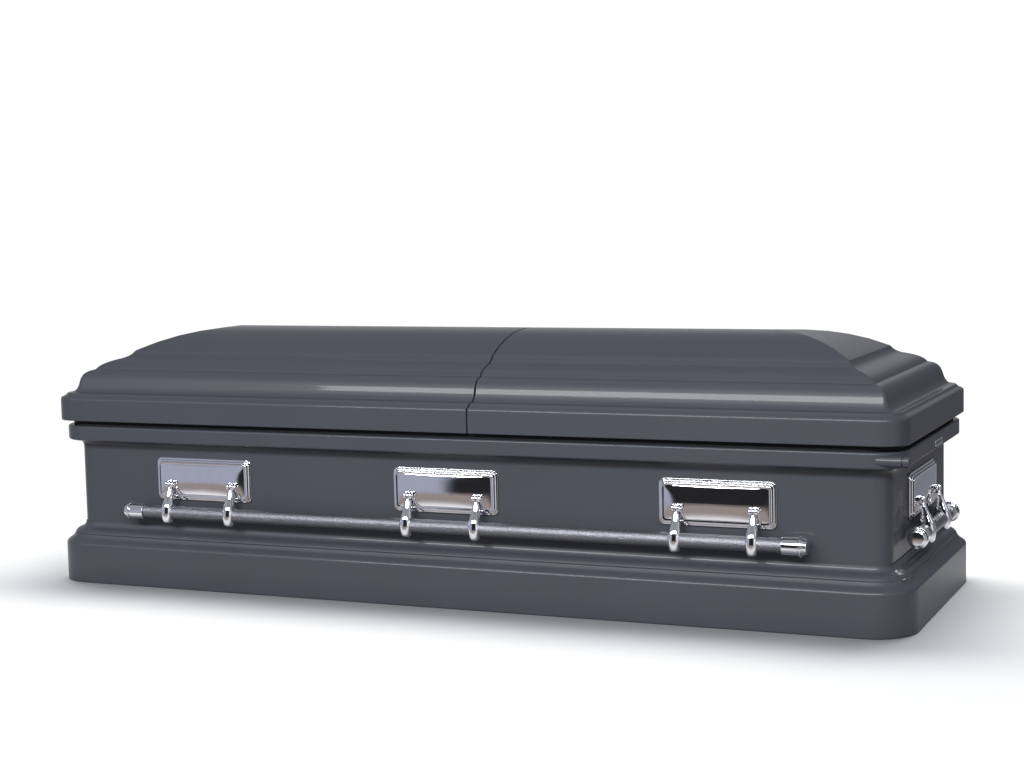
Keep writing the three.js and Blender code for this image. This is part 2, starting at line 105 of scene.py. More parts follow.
def outline(half_x, half_y, radius, corner_steps=12, side_steps=(1, 1)):
    """Rounded rectangle, counter-clockwise, with a holding point beside each corner."""
    r = min(radius, half_x, half_y)
    points = []
    for corner in range(4):
        centre = Vector(((1, -1, -1, 1)[corner] * (half_x - r), (1, 1, -1, -1)[corner] * (half_y - r)))
        first = Vector((math.cos(corner * math.pi / 2), math.sin(corner * math.pi / 2)))
        second = Vector((-first.y, first.x))
        hold_second = min(HOLD, abs((half_y - r) * first.x + (half_x - r) * first.y))
        hold_first = min(HOLD, abs((half_x - r) * first.x + (half_y - r) * first.y))
        points.append(centre + first * r - second * hold_second)
        for step in range(corner_steps + 1):
            angle = step / corner_steps * math.pi / 2
            points.append(centre + (first * math.cos(angle) + second * math.sin(angle)) * r)
        points.append(centre + second * r - first * hold_first)
        side = 2 * ((half_x - r) * abs(first.x) + (half_y - r) * abs(first.y)) - 2 * hold_first
        for step in range(1, side_steps[corner % 2]):
            points.append(points[-1] - first * (side / side_steps[corner % 2]))
    return points


def skin(rows, closed=True):
    """Skin over rows of equal counts. Its faces look out where rows climb and points run
    counter-clockwise from above."""
    bm = bmesh.new()
    verts = [[bm.verts.new(point) for point in row] for row in rows]
    count = len(rows[0])
    for low, high in zip(verts, verts[1:]):
        for j in range(count if closed else count - 1):
            k = (j + 1) % count
            bm.faces.new((low[j], low[k], high[k], high[j]))
    bmesh.ops.remove_doubles(bm, verts=bm.verts, dist=WELD)
    return bm


def thicken(bm, thickness=SHEET):
    """Gives an open skin its sheet's thickness, behind its faces, and closes its edges."""
    bm.normal_update()
    fronts = list(bm.faces)
    border = [edge.link_loops[0] for edge in bm.edges if edge.is_boundary]
    border = [(loop.vert, loop.link_loop_next.vert) for loop in border]
    behind = {}
    for vert in list(bm.verts):
        reach = thickness * min(vert.calc_shell_factor(), 2)
        behind[vert] = bm.verts.new(vert.co - vert.normal * reach)
    for face in fronts:
        bm.faces.new([behind[vert] for vert in reversed(face.verts)])
    for a, b in border:
        bm.faces.new((b, a, behind[a], behind[b]))
        bm.edges.get((a, b)).smooth = False
        bm.edges.get((behind[a], behind[b])).smooth = False
    return bm


def fit(node, bm, finish):
    """Makes a mesh the finished piece that stands for a node, on the node's body."""
    for face in bm.faces:
        face.smooth = True
    mesh = bpy.data.meshes.new("finished_" + node)
    bm.to_mesh(mesh)
    bm.free()
    mesh.materials.append(finish)
    made = bpy.data.objects.new("finished_" + node, mesh)
    bpy.context.scene.collection.objects.link(made)
    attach(made, frame["nodes"][node]["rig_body"])
    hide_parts(node)


class Wire:
    """An output socket in a finish's nodes. Arithmetic on it adds Math nodes."""

    def __init__(self, tree, socket=None):
        self.tree = tree
        self.socket = socket

    def node(self, kind, settings=None, inputs=None, output=0):
        """Adds a node: its settings first, then the values or links of its sockets."""
        made = self.tree.nodes.new("ShaderNode" + kind)
        for name, value in (settings or {}).items():
            if name == "stops":
                for stop, (place, colour) in zip(made.color_ramp.elements, value):
                    stop.position = place
                    stop.color = colour
            else:
                setattr(made, name, value)
        for name, value in (inputs or {}).items():
            if isinstance(value, Wire):
                self.tree.links.new(value.socket, made.inputs[name])
            else:
                made.inputs[name].default_value = value
        return Wire(self.tree, made.outputs[output])

    def other(self, output):
        return Wire(self.tree, self.socket.node.outputs[output])

    def math(self, operation, first, second):
        return self.node("Math", {"operation": operation}, {0: first, 1: second})

    def __add__(self, value):
        return self.math("ADD", self, value)

    def __radd__(self, value):
        return self.math("ADD", value, self)

    def __sub__(self, value):
        return self.math("SUBTRACT", self, value)

    def __rsub__(self, value):
        return self.math("SUBTRACT", value, self)

    def __mul__(self, value):
        return self.math("MULTIPLY", self, value)

    def __rmul__(self, value):
        return self.math("MULTIPLY", value, self)

    def into(self, shader, name):
        self.tree.links.new(self.socket, shader.inputs[name])


def new_finish(name, **constants):
    """A material, the start of its node expressions, and its shader with its constant values set."""
    material = bpy.data.materials.new(name)
    material.use_nodes = True
    shader = material.node_tree.nodes["Principled BSDF"]
    for key, value in constants.items():
        shader.inputs[key.replace("_", " ").title().replace("Ior", "IOR")].default_value = value
    return material, Wire(material.node_tree), shader


def grain(wire, place, scale, detail=2.0, roughness=0.5):
    """Noise from 0 to 1 with so many lumps to the metre."""
    return wire.node("TexNoise", None, {
        "Vector": place, "Scale": scale, "Detail": detail, "Roughness": roughness,
    })


def mixed(wire, factor, first, second):
    """Colour between two colours."""
    return wire.node("Mix", {"data_type": "RGBA"}, {0: factor, 6: first, 7: second}, 2)


def bumped(wire, height, distance, strength=1.0):
    return wire.node("Bump", None, {"Height": height, "Distance": distance, "Strength": strength})


def slate_paint():
    """Sprayed slate grey with a fine flake under clear coat: faint drifts of tone, orange peel, and
    the slow waves of rolled sheet that bend its highlights."""
    material, wire, shader = new_finish(
        "slate_paint", coat_weight=0.18, coat_roughness=0.06, coat_ior=1.5, specular_ior_level=0.3)
    place = wire.node("TexCoord", output="Object")
    drift = grain(wire, place, 2.6, 3)
    flake = grain(wire, place, 1500, 1)
    peel = grain(wire, place, 260, 2)
    wave = grain(wire, place, 9, 1)
    tone = drift * 0.65 + flake * 0.35
    mixed(wire, tone, (0.026, 0.0275, 0.035, 1), (0.036, 0.038, 0.048, 1)).into(shader, "Base Color")
    (drift * 0.1 + flake * 0.06 + 0.42).into(shader, "Roughness")
    height = wave * 0.00014 + peel * 0.000012
    bumped(wire, height, 1.0, 0.6).into(shader, "Normal")
    return material


def base_row(inset, z):
    corner = max(BASE_CORNER - inset, 0.003)
    return [Vector((x, y, z)) for x, y in outline(base_high.x - inset, base_high.y - inset, corner)]


paint = slate_paint()
plinth_profile = moulded([
    (foot_flange, 0),
    (0, 0, 0.003),
    (0, plinth_top - 0.001, 0.005),
    (0.0165, 0.1075, 0.0025),
    (0.021, 0.1145, 0.0025),
    (0.0245, 0.1245, 0.009, 0.012),
    (0.0465, 0.132, 0.009),
    (wall_inset - 0.002, base_top),
])
fit("base_moulding", thicken(skin([base_row(p.x, p.y) for p in plinth_profile])), paint)

# Bottom pan
# A flat steel sheet that lies on the foot flange inside the base and closes the casket below. It
# is sprayed with the same paint as the rest.
frame["nodes"]["bottom_pan"].data.materials.clear()
frame["nodes"]["bottom_pan"].data.materials.append(paint)

# Body shell
# The four walls of the casket, of sheet steel bent round the corners. At the top the sheet is
# turned out over a cove to the rim moulding, and in again to the flange that carries the lid.
rim_inset = base_high.x - shell_high.x
cove_height = 0.022
rim_lower = 0.3495
rim_edge = 0.005
shell_profile = moulded([
    (wall_inset, shell_low.z),
    (wall_inset, rim_lower, cove_height, 0.0205),
    (rim_inset, rim_lower, 0.012, 0.006),
    (rim_inset, shell_high.z, rim_edge),
    (wall_inset + SHEET, shell_high.z),
])
fit("body_shell", thicken(skin([base_row(p.x, p.y) for p in shell_profile])), paint)

# Lid gasket
# A black rubber strip that lies on the rim's flange and seals the gap below the lid. It is an
# extruded bulb section, joined to a hoop.
gasket_low, gasket_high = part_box("lid_gasket")
gasket_inset = base_high.x - gasket_high.x
gasket_width = 0.018
gasket_round = 0.0045


def seal_rubber():
    """Dull black rubber with a dusty bloom."""
    material, wire, shader = new_finish("seal_rubber", specular_ior_level=0.3)
    place = wire.node("TexCoord", output="Object")
    bloom = grain(wire, place, 35, 4)
    pores = grain(wire, place, 900, 1)
    mixed(wire, bloom, (0.006, 0.006, 0.0065, 1), (0.014, 0.014, 0.015, 1)).into(shader, "Base Color")
    (bloom * 0.2 + 0.62).into(shader, "Roughness")
    bumped(wire, pores, 0.00008).into(shader, "Normal")
    return material


middle = gasket_inset + gasket_width / 2
section = moulded([
    (middle, gasket_low.z),
    (gasket_inset, gasket_low.z, 0.001),
    (gasket_inset, gasket_high.z, gasket_round),
    (gasket_inset + gasket_width, gasket_high.z, gasket_round),
    (gasket_inset + gasket_width, gasket_low.z, 0.001),
    (middle, gasket_low.z),
])
rubber = seal_rubber()
fit("lid_gasket", skin([base_row(p.x, p.y) for p in section]), rubber)

# Lid halves
# The dome lid, pressed from sheet steel: a rim band with a turned-in flange, a stepped ogee
# moulding and a dome that is mitred at the hips. It is cut across, and each half is turned in at the
# cut to a header, so that it opens by itself.
lid_low, lid_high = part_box("head_lid")[0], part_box("foot_lid")[1]
lid_half = Vector((lid_high.x, lid_high.y))
head_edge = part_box("head_lid")[1].x
foot_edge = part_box("foot_lid")[0].x
LID_CORNER = 0.06
HIP_ROUND = 0.003
CUT_ROUND = 0.002
CUT_STEPS = 4
lid_flange = 0.038
lid_profile = moulded([
    (lid_flange, lid_low.z),
    (0, lid_low.z, 0.0025),
    (0, 0.4555, 0.005),
    (0.0135, 0.4615, 0.0025),
    (0.0175, 0.4665, 0.0025),
    (0.041, 0.4685, 0.0145, 0.022),
    (0.0545, 0.516, 0.0255, 0.022),
    (0.079, 0.5208, 0.002),
    (0.090, 0.536, 0.0155, 0.033),
    (0.141, 0.549, 0.0185, 0.0135),
    (0.150, 0.5625, 0.0024),
    (0.242, lid_high.z, 0.1, 0.1098),
    (lid_half.y, lid_high.z),
])
header_outline = moulded([
    (lid_half.y - lid_flange, lid_low.z),
    (lid_half.y - lid_flange, 0.46, 0.02),
    (0.262, 0.498, 0.02),
    (0.182, 0.543, 0.03),
    (0.04, lid_high.z - 0.028, 0.035),
    (0, lid_high.z - 0.028),
])
HEADER_EYE = Vector((0, 0.43))


def header_point(point):
    """Where the line from the eye of the header's opening to a profile point crosses its outline."""
    ray = Vector((lid_half.y - point.x, point.y)) - HEADER_EYE
    for a, b in zip(header_outline, header_outline[1:]):
        edge = b - a
        scale = ray.x * edge.y - ray.y * edge.x
        if abs(scale) < 1e-12:
            continue
        gap = a - HEADER_EYE
        along = (gap.x * edge.y - gap.y * edge.x) / scale
        across = (gap.x * ray.y - gap.y * ray.x) / scale
        if along > 0 and -1e-6 <= across <= 1 + 1e-6:
            return HEADER_EYE + ray * min(along, 1)
    return HEADER_EYE + ray


def lid_rows(edge, end):
    """Rows of a lid half from the flange to the ridge. Each runs from the header on one side of the
    cut round the end of the lid (-1 for the head, 1 for the foot) to the header on the other side."""
    rows = []
    for i, point in enumerate(lid_profile):
        before = lid_profile[max(i - 1, 0)]
        after = lid_profile[min(i + 1, len(lid_profile) - 1)]
        inward = Vector((after.y - before.y, before.x - after.x)).normalized()
        cut = []
        opening = header_point(point)
        cut.append(Vector((edge, opening.x, opening.y)))
        for step in range(CUT_STEPS + 1):
            turn = step / CUT_STEPS * math.pi / 2
            depth = CUT_ROUND * (1 - math.sin(turn))
            sunk = point + inward * depth
            x = edge + end * CUT_ROUND * (1 - math.cos(turn))
            cut.append(Vector((x, max(lid_half.y - sunk.x, 0), sunk.y)))
        cut.append(cut[-1] + Vector((end * HOLD, 0, 0)))
        ring = outline(lid_half.x - point.x, lid_half.y - point.x, max(LID_CORNER - point.x, HIP_ROUND))
        half = len(ring) // 2
        bend = ring[-half // 2:] + ring[:half // 2]
        bend = [Vector((x, y, point.y)) for x, y in bend]
        near = [Vector((p.x, -p.y, p.z)) for p in cut]
        far = list(reversed(cut))
        row = near + bend + far
        if end < 0:
            bend = [Vector((-p.x, -p.y, p.z)) for p in bend]
            row = cut + bend + list(reversed(near))
        rows.append(row)
    return rows


fit("head_lid", thicken(skin(lid_rows(head_edge, -1), False)), paint)
fit("foot_lid", thicken(skin(lid_rows(foot_edge, 1), False)), paint)

# Rear hinges
# Two steel butt hinges to each lid half, zinc plated: a leaf screwed to the rim with the outer
# knuckles and the pin, and a leaf screwed to the lid's band with the middle knuckle.
HINGES = 4
LEAF_CORNER = 0.004
LEAF_EDGE = 0.0006
KNUCKLE_RADIUS = 0.005
hinge_pin = Vector(frame["joints"][0]["pos_m"])
SCREW_RADIUS = 0.0042
SCREW_HEIGHT = 0.0009


def plated_steel():
    """Zinc-plated steel, brushed along the leaf."""
    material, wire, shader = new_finish("plated_steel", metallic=1.0)
    place = wire.node("TexCoord", output="Object")
    along = wire.node("Mapping", None, {"Vector": place, "Scale": (30, 900, 900)})
    brush = grain(wire, along, 1, 3)
    cloud = grain(wire, place, 60, 3)
    mixed(wire, cloud, (0.24, 0.24, 0.25, 1), (0.36, 0.36, 0.37, 1)).into(shader, "Base Color")
    (brush * 0.25 + 0.25).into(shader, "Roughness")
    bumped(wire, brush, 0.00003).into(shader, "Normal")
    return material


def turned(profile, sides, matrix=Matrix()):
    """Body of revolution about +X from (distance, radius) points that start and end on the axis."""
    rows = []
    for distance, radius in profile:
        angles = [2 * math.pi * i / sides for i in range(sides)]
        ring = [Vector((distance, radius * math.cos(a), radius * math.sin(a))) for a in angles]
        rows.append([matrix @ point for point in ring])
    return skin(rows)


def joined(*meshes):
    """One mesh of several closed bodies that touch."""
    whole = bmesh.new()
    for part in meshes:
        scratch = bpy.data.meshes.new("scratch")
        part.to_mesh(scratch)
        part.free()
        whole.from_mesh(scratch)
        bpy.data.meshes.remove(scratch)
    return whole


def leaf_plate(low, high, y, thickness, hollow_side):
    """Hinge leaf against a face at y, with rounded corners and edges, and its screw heads."""
    centre = (low + high) / 2
    half = (high - low) / 2
    rows = []
    edge_steps = ((0, 0), (0, thickness - LEAF_EDGE), (LEAF_EDGE, thickness), (half.y - WELD, thickness))
    for inset, out in edge_steps:
        ring = outline(half.x - inset, half.y - inset, LEAF_CORNER, 5)
        rows.append([Vector((centre.x - p.x, y + out, centre.y + p.y)) for p in ring])
    screws = []
    for side in (-1, 0, 1):
        rise = half.y * (0.3 if side else -0.2) * hollow_side
        spot = Vector((centre.x + side * half.x * 0.68, y + thickness - 0.0002, centre.y + rise))
        head = moulded([
            (0, SCREW_RADIUS, 0),
            (SCREW_HEIGHT, SCREW_RADIUS, 0.0005),
            (SCREW_HEIGHT, 0.0012, 0.0002),
            (SCREW_HEIGHT - 0.0007, 0),
        ])
        screws.append(turned([(0, 0)] + [tuple(p) for p in head], 16,
                             Matrix.Translation(spot) @ Matrix.Rotation(math.pi / 2, 4, "Z")))
    bottom = rows[0]
    middle_line = [Vector((p.x, p.y, centre.y)) for p in bottom]
    plate = skin([middle_line] + rows)
    return joined(plate, *screws)


def knuckle(centre_x, length, radius):
    edge = 0.0008
    half = length / 2
    profile = [(-half, 0), (-half, radius - edge), (-half + edge, radius),
               (half - edge, radius), (half, radius - edge), (half, 0)]
    return turned(profile, 24, Matrix.Translation((centre_x, hinge_pin.y, hinge_pin.z)))


steel = plated_steel()
for i in range(1, HINGES + 1):
    low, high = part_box(f"hinge_body_leaf_{i}")
    place = (low.x + high.x) / 2
    pitch = (high.x - low.x) / 3
    gap = 0.0005
    leaf_top = hinge_pin.z - KNUCKLE_RADIUS - gap
    leaf = leaf_plate(Vector((low.x, low.z)), Vector((high.x, leaf_top)), low.y, 0.002, 1)
    outer = [knuckle(place + side * pitch, pitch - 2 * gap, KNUCKLE_RADIUS) for side in (-1, 1)]
    heads = [knuckle(place + side * (1.5 * pitch - gap + 0.001), 0.002, 0.0042) for side in (-1, 1)]
    webs = []
    for side in (-1, 1):
        web_rows = []
        for z, y in ((leaf_top - 0.002, low.y + 0.002), (hinge_pin.z, hinge_pin.y)):
            ring = outline(pitch / 2 - gap, 0.001, 0.0004, 2)
            web_rows.append([Vector((place + side * pitch + p.x, y + p.y, z)) for p in ring])
        webs.append(skin(web_rows))
    fit(f"hinge_body_leaf_{i}", joined(leaf, *outer, *heads, *webs), steel)

    low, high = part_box(f"hinge_lid_leaf_{i}")
    leaf_bottom = hinge_pin.z + KNUCKLE_RADIUS + 0.002
    leaf = leaf_plate(Vector((low.x, leaf_bottom)), Vector((high.x, high.z)), low.y, 0.002, -1)
    web_rows = []
    for z in (hinge_pin.z + KNUCKLE_RADIUS - 0.002, leaf_bottom + 0.001):
        ring = outline(pitch / 2 - gap, 0.001, 0.0004, 2)
        web_rows.append([Vector((place + p.x, low.y + 0.001 + p.y, z)) for p in ring])
    barrel = knuckle(place, pitch - 2 * gap, KNUCKLE_RADIUS)
    fit(f"hinge_lid_leaf_{i}", joined(leaf, barrel, skin(web_rows)), steel)

# Ear plates
# Chrome-plated zinc castings, screwed to the walls from inside: a border in three steps round a
# cushioned face. A pair of lugs with a pin stands on the face for each arm of the swing bar.
EAR_CORNER = 0.013
FACE_EDGE = 0.0140
FACE_FOOT = 0.0118
FACE_CROWN = 0.0040
ARM_SPREAD = 0.086
PIVOT_OUT = 0.020
LUG_ROOT = 0.010
LUG_RADIUS = 0.0086
LUG_EDGE = 0.0030
LUG_THICKNESS = 0.0062
KNUCKLE_HALF = 0.0045
PIN_HEAD = 0.0034
pivot_height = frame["joints"][2]["pos_m"][2]
ear_low, ear_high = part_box("ear_front_2")
ear_half = Vector(((ear_high.x - ear_low.x) / 2, (ear_high.z - ear_low.z) / 2))
ear_centre = (ear_high.z + ear_low.z) / 2
SIDES = {
    "front": (0, 3),
    "rear": (math.pi, 3),
    "head_end": (-math.pi / 2, 1),
    "foot_end": (math.pi / 2, 1),
}


def bright_chrome():
    """Polished chrome with faint smears and the slight unevenness of a casting."""
    material, wire, shader = new_finish("bright_chrome", metallic=1.0)
    place = wire.node("TexCoord", output="Object")
    smear = grain(wire, place, 45, 4, 0.6)
    uneven = grain(wire, place, 24, 1)
    mixed(wire, smear, (0.76, 0.76, 0.79, 1), (0.86, 0.86, 0.89, 1)).into(shader, "Base Color")
    (smear * 0.05 + 0.025).into(shader, "Roughness")
    bumped(wire, uneven, 0.00012).into(shader, "Normal")
    return material


def wall_frame(side, node):
    """Frame of a handle's station: x along the wall, -y out of it, z up from the floor."""
    low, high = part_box(node)
    centre = (low + high) / 2
    turn = Matrix.Rotation(SIDES[side][0], 4, "Z")
    half_depth = abs((turn.inverted() @ (high - low)).y) / 2
    back = turn @ Vector((0, half_depth, 0))
    return Matrix.Translation((centre.x + back.x, centre.y + back.y, 0)) @ turn


def cushion(x, z):
    """How far the face of an ear plate stands out, at a place from its middle."""
    a = ear_half.x - FACE_EDGE
    b = ear_half.y - FACE_EDGE
    fullness = max(1 - (x / a) ** 2, 0) * max(1 - (z / b) ** 2, 0)
    return FACE_FOOT + FACE_CROWN * fullness ** 0.62


def ear_plate():
    border = moulded([
        (0.004, 0.0),
        (0, 0, 0.0004),
        (0, 0.0040, 0.0010),
        (0.0042, 0.0043, 0.0006),
        (0.0048, 0.0082, 0.0010),
        (0.0086, 0.0085, 0.0006),
        (0.0092, 0.0124, 0.0011),
        (0.0122, 0.0122, 0.0010),
        (FACE_EDGE, FACE_FOOT),
    ])
    rows = []
    for inset, out in border:
        ring = outline(ear_half.x - inset, ear_half.y - inset, EAR_CORNER - inset / 2, 6, (28, 12))
        rows.append([Vector((p.x, -out, ear_centre + p.y)) for p in ring])
    reach = ear_half.y - FACE_EDGE
    for step in range(1, 19):
        inset = FACE_EDGE + reach * (step / 18) ** 1.6 - (WELD if step == 18 else 0)
        corner = max((EAR_CORNER - FACE_EDGE / 2) * (1 - step / 18), WELD)
        ring = outline(ear_half.x - inset, ear_half.y - inset, corner, 6, (28, 12))
        rows.append([Vector((p.x, -cushion(p.x, p.y), ear_centre + p.y)) for p in ring])
    return skin(rows)


def lug():
    """One cheek of an arm's bearing, with the head of the pin on its outer side at +x."""
    sweep = [math.radians(90 - 180 * i / 14) for i in range(15)]
    shape = [(LUG_ROOT, LUG_RADIUS + 0.0015)]
    shape += [(PIVOT_OUT + LUG_RADIUS * math.cos(a), LUG_RADIUS * math.sin(a)) for a in sweep]
    shape += [(LUG_ROOT, -LUG_RADIUS - 0.0015)]
    centre = Vector((sum(p[0] for p in shape) / len(shape), 0))
    rows = []
    round_over = [math.radians(15 * i) for i in range(7)]
    steps = [(0, 1), (0, 0.0006), (0.0006, 0)]
    for a in round_over:
        steps.append((LUG_THICKNESS - LUG_EDGE * (1 - math.sin(a)), LUG_EDGE * (1 - math.cos(a))))
    for x, inset in steps + [(LUG_THICKNESS, 1)]:
        row = []
        for out, z in shape:
            inward = centre - Vector((out, z))
            spot = Vector((out, z)) + inward.normalized() * min(inset, inward.length)
            row.append(Vector((x, -spot.x, pivot_height + spot.y)))
        rows.append(row)
    head = moulded([(0, PIN_HEAD), (0.0012, PIN_HEAD, 0.0008), (0.0018, 0)])
    pin_place = Matrix.Translation((LUG_THICKNESS - 0.0003, -PIVOT_OUT, pivot_height))
    return joined(skin(rows), turned([(0, 0)] + [tuple(p) for p in head], 20, pin_place))


def mirrored(bm, across):
    """The mesh mirrored in the plane x = across."""
    bmesh.ops.transform(bm, matrix=Matrix.Scale(-1, 4, (1, 0, 0)), verts=bm.verts)
    bmesh.ops.translate(bm, vec=(2 * across, 0, 0), verts=bm.verts)
    bmesh.ops.reverse_faces(bm, faces=bm.faces)
    return bm


def moved(bm, *matrices):
    for matrix in matrices:
        bmesh.ops.transform(bm, matrix=matrix, verts=bm.verts)
    return bm


def ear():
    parts = [ear_plate()]
    inner = KNUCKLE_HALF + 0.0003
    for arm in (-ARM_SPREAD, ARM_SPREAD):
        parts.append(moved(lug(), Matrix.Translation((arm + inner, 0, 0))))
        parts.append(mirrored(moved(lug(), Matrix.Translation((arm + inner, 0, 0))), arm))
        pin = turned([(-inner, 0), (-inner, 0.0026), (inner, 0.0026), (inner, 0)], 16)
        parts.append(moved(pin, Matrix.Translation((arm, -PIVOT_OUT, pivot_height))))
    return joined(*parts)


chrome = bright_chrome()
for side, (turn, count) in SIDES.items():
    for i in range(1, count + 1):
        node = f"ear_{side}_{i}"
        fit(node, moved(ear(), wall_frame(side, node)), chrome)

# Arms
# Chrome-plated castings that hang on the pins of the ear plates: a knuckle between the lugs, a neck
# and a drop-shaped boss with a bore, through which the bar is pushed.
ARM_ROWS = (
    (-0.0079, 0.0015, 0.0205, 0.0012),
    (-0.0072, 0.0032, 0.0205, 0.0036),
    (-0.0045, 0.0044, 0.0205, 0.0066),
    (0.0000, 0.0045, 0.0205, 0.0080),
    (0.0060, 0.0045, 0.0212, 0.0074),
    (0.0088, 0.0054, 0.0228, 0.0066),
    (0.0108, 0.0072, 0.0240, 0.0064),
    (0.0140, 0.0078, 0.0252, 0.0066),
    (0.0255, 0.0086, 0.0284, 0.0084),
    (0.0385, 0.0114, 0.0306, 0.0128),
    (0.0505, 0.0142, 0.0312, 0.0178),
    (0.0625, 0.0156, 0.0312, 0.0200),
    (0.0745, 0.0146, 0.0314, 0.0196),
    (0.0838, 0.0128, 0.0322, 0.0172),
    (0.0888, 0.0106, 0.0332, 0.0140),
    (0.0918, 0.0066, 0.0340, 0.0086),
    (0.0926, 0.0018, 0.0344, 0.0024),
)
ARM_POINTS = 32
ARM_SQUARENESS = 0.82
ARM_STEPS = 4


def smooth_rows(rows, steps):
    """Rows of numbers with others between them, on a smooth curve through the rows given."""
    dense = []
    for i in range(len(rows) - 1):
        around = [rows[max(i - 1, 0)], rows[i], rows[i + 1], rows[min(i + 2, len(rows) - 1)]]
        for step in range(steps):
            t = step / steps
            weights = (
                -0.5 * t + t * t - 0.5 * t ** 3,
                1 - 2.5 * t * t + 1.5 * t ** 3,
                0.5 * t + 2 * t * t - 1.5 * t ** 3,
                -0.5 * t * t + 0.5 * t ** 3,
            )
            dense.append([sum(w * row[k] for w, row in zip(weights, around)) for k in range(len(rows[0]))])
    return dense + [list(rows[-1])]


def arm():
    """The rows say how far each is below the pivot, its half width, how far out it is and its depth."""
    rows = []
    for drop, half_width, out, half_depth in reversed(smooth_rows(ARM_ROWS, ARM_STEPS)):
        row = []
        for i in range(ARM_POINTS):
            angle = 2 * math.pi * i / ARM_POINTS
            c, s = math.cos(angle), math.sin(angle)
            x = half_width * math.copysign(abs(c) ** ARM_SQUARENESS, c)
            y = half_depth * math.copysign(abs(s) ** ARM_SQUARENESS, s)
            row.append(Vector((x, y - out, pivot_height - drop)))
        rows.append(row)
    first = [sum(rows[0], Vector()) / ARM_POINTS] * ARM_POINTS
    last = [sum(rows[-1], Vector()) / ARM_POINTS] * ARM_POINTS
    return skin([first] + rows + [last])


for side, (turn, count) in SIDES.items():
    for i in range(1, count + 1):
        station = wall_frame(side, f"ear_{side}_{i}")
        for j, spread in enumerate((-ARM_SPREAD, ARM_SPREAD)):
            place = station @ Matrix.Translation((spread, 0, 0))
            fit(f"arm_{side}_{2 * i - 1 + j}", moved(arm(), place), chrome)

# Bars
# Steel tubes pushed through the arms, one to each side of the casket, with a hammered pewter-grey
# finish: shallow dents a few millimetres across over the whole length.
BAR_RADIUS = 0.016
DENT = 0.0042
DENT_DEPTH = 0.00032
BAR_CELL = 0.0022


def hammered_pewter():
    """Grey hammered lacquer over steel, its colour darker in the dents as painted shade and lighter on what
    stands out as painted highlight, following the same cells as the bump.
    """
    material, wire, shader = new_finish("hammered_pewter", metallic=1.0)
    place = wire.node("TexCoord", output="Object")
    cells = wire.node("TexVoronoi", {"feature": "SMOOTH_F1"}, {"Vector": place, "Scale": 380.0})
    speck = grain(wire, place, 700, 2)
    tone = cells * 0.6 + speck * 0.4
    # Painted shade and painted highlight: the base colour is dark in the dents and light on the raised
    # spots of the bump's cells.
    mixed(wire, tone, (0.07, 0.07, 0.08, 1), (0.30, 0.30, 0.33, 1)).into(shader, "Base Color")
    (speck * 0.2 + 0.38).into(shader, "Roughness")
    bumped(wire, cells + speck * 0.5, 0.0008).into(shader, "Normal")
    return material


def bar(half_length, place):
    around = round(2 * math.pi * BAR_RADIUS / BAR_CELL)
    along = round(2 * half_length / BAR_CELL)
    rows = []
    for i in range(along + 1):
        x = -half_length + 2 * half_length * i / along
        row = []
        for j in range(around):
            angle = 2 * math.pi * j / around
            spot = Vector((x, BAR_RADIUS * math.cos(angle), BAR_RADIUS * math.sin(angle)))
            dent = DENT_DEPTH * (noise.noise(spot / DENT) - 0.4)
            row.append(spot + Vector((0, math.cos(angle), math.sin(angle))) * dent)
        rows.append(row)
    ends = [[Vector((row[0].x, 0, 0))] * around for row in (rows[0], rows[-1])]
    return moved(skin([ends[0]] + rows + [ends[1]]), place)


pewter = hammered_pewter()
for side, (turn, count) in SIDES.items():
    low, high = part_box(f"bar_{side}")
    size = high - low
    centre = Matrix.Translation((low + high) / 2) @ Matrix.Rotation(turn, 4, "Z")
    fit(f"bar_{side}", bar(max(size.x, size.y) / 2, centre), pewter)

# Bar tips
# Chrome-plated turned ends, pressed on the bars: a ferrule, a groove, a raised ring with a small
# step, and a cap with a rounded face.
TIP_SIDES = 40
TIP_PROFILE = (
    (0, 0),
    (0, 0.0192, 0.0004),
    (0.0355, 0.0197, 0.0005),
    (0.0362, 0.0184, 0.0003),
    (0.0378, 0.0184, 0.0003),
    (0.0384, 0.0233, 0.0012),
    (0.0424, 0.0233, 0.0012),
    (0.0430, 0.0196, 0.0003),
    (0.0462, 0.0194, 0.0008),
    (0.0466, 0.0174, 0.0003),
    (0.0534, 0.0170, 0.0030),
    (0.0542, 0),
)

for side, (turn, count) in SIDES.items():
    bar_low, bar_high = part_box(f"bar_{side}")
    for i in (1, 2):
        low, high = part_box(f"tip_{side}_{i}")
        middle_point = (low + high) / 2
        facing = (middle_point - (bar_low + bar_high) / 2).normalized()
        size = high - low
        length = max(size.x * abs(facing.x), size.y * abs(facing.y))
        start = middle_point - facing * length / 2
        place = Matrix.Translation(start) @ facing.to_track_quat("X", "Z").to_matrix().to_4x4()
        tip = turned([tuple(p) for p in moulded(TIP_PROFILE)], TIP_SIDES, place)
        fit(f"tip_{side}_{i}", tip, chrome)

# Record tube
# A painted steel tube let through the corner of the rim at the front of the foot end, with a
# screwed cap on its mouth. A thin groove shows between the two.
TUBE_SIDES = 32
tube_low, tube_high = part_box("record_tube")
cap_low, cap_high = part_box("record_tube_cap")
tube_centre = (tube_low + tube_high) / 2
tube_radius = (tube_high.z - tube_low.z) / 2
tube_length = tube_high.x - tube_low.x
cap_length = cap_high.x - cap_low.x
tube_profile = moulded([
    (0, 0),
    (0, tube_radius, 0.0008),
    (tube_length, tube_radius, 0.0006),
    (tube_length, tube_radius - SHEET, 0.0004),
    (SHEET, tube_radius - SHEET, 0.0004),
    (SHEET, 0),
])
cap_profile = moulded([
    (0, 0),
    (0, tube_radius - 0.0021, 0.0002),
    (0.0026, tube_radius - 0.0021, 0.0002),
    (0.0030, tube_radius, 0.0006),
    (cap_length, tube_radius, 0.0015),
    (cap_length, tube_radius - 0.0045, 0.0004),
    (cap_length - 0.0008, tube_radius - 0.0055, 0.0004),
    (cap_length - 0.0008, 0),
])
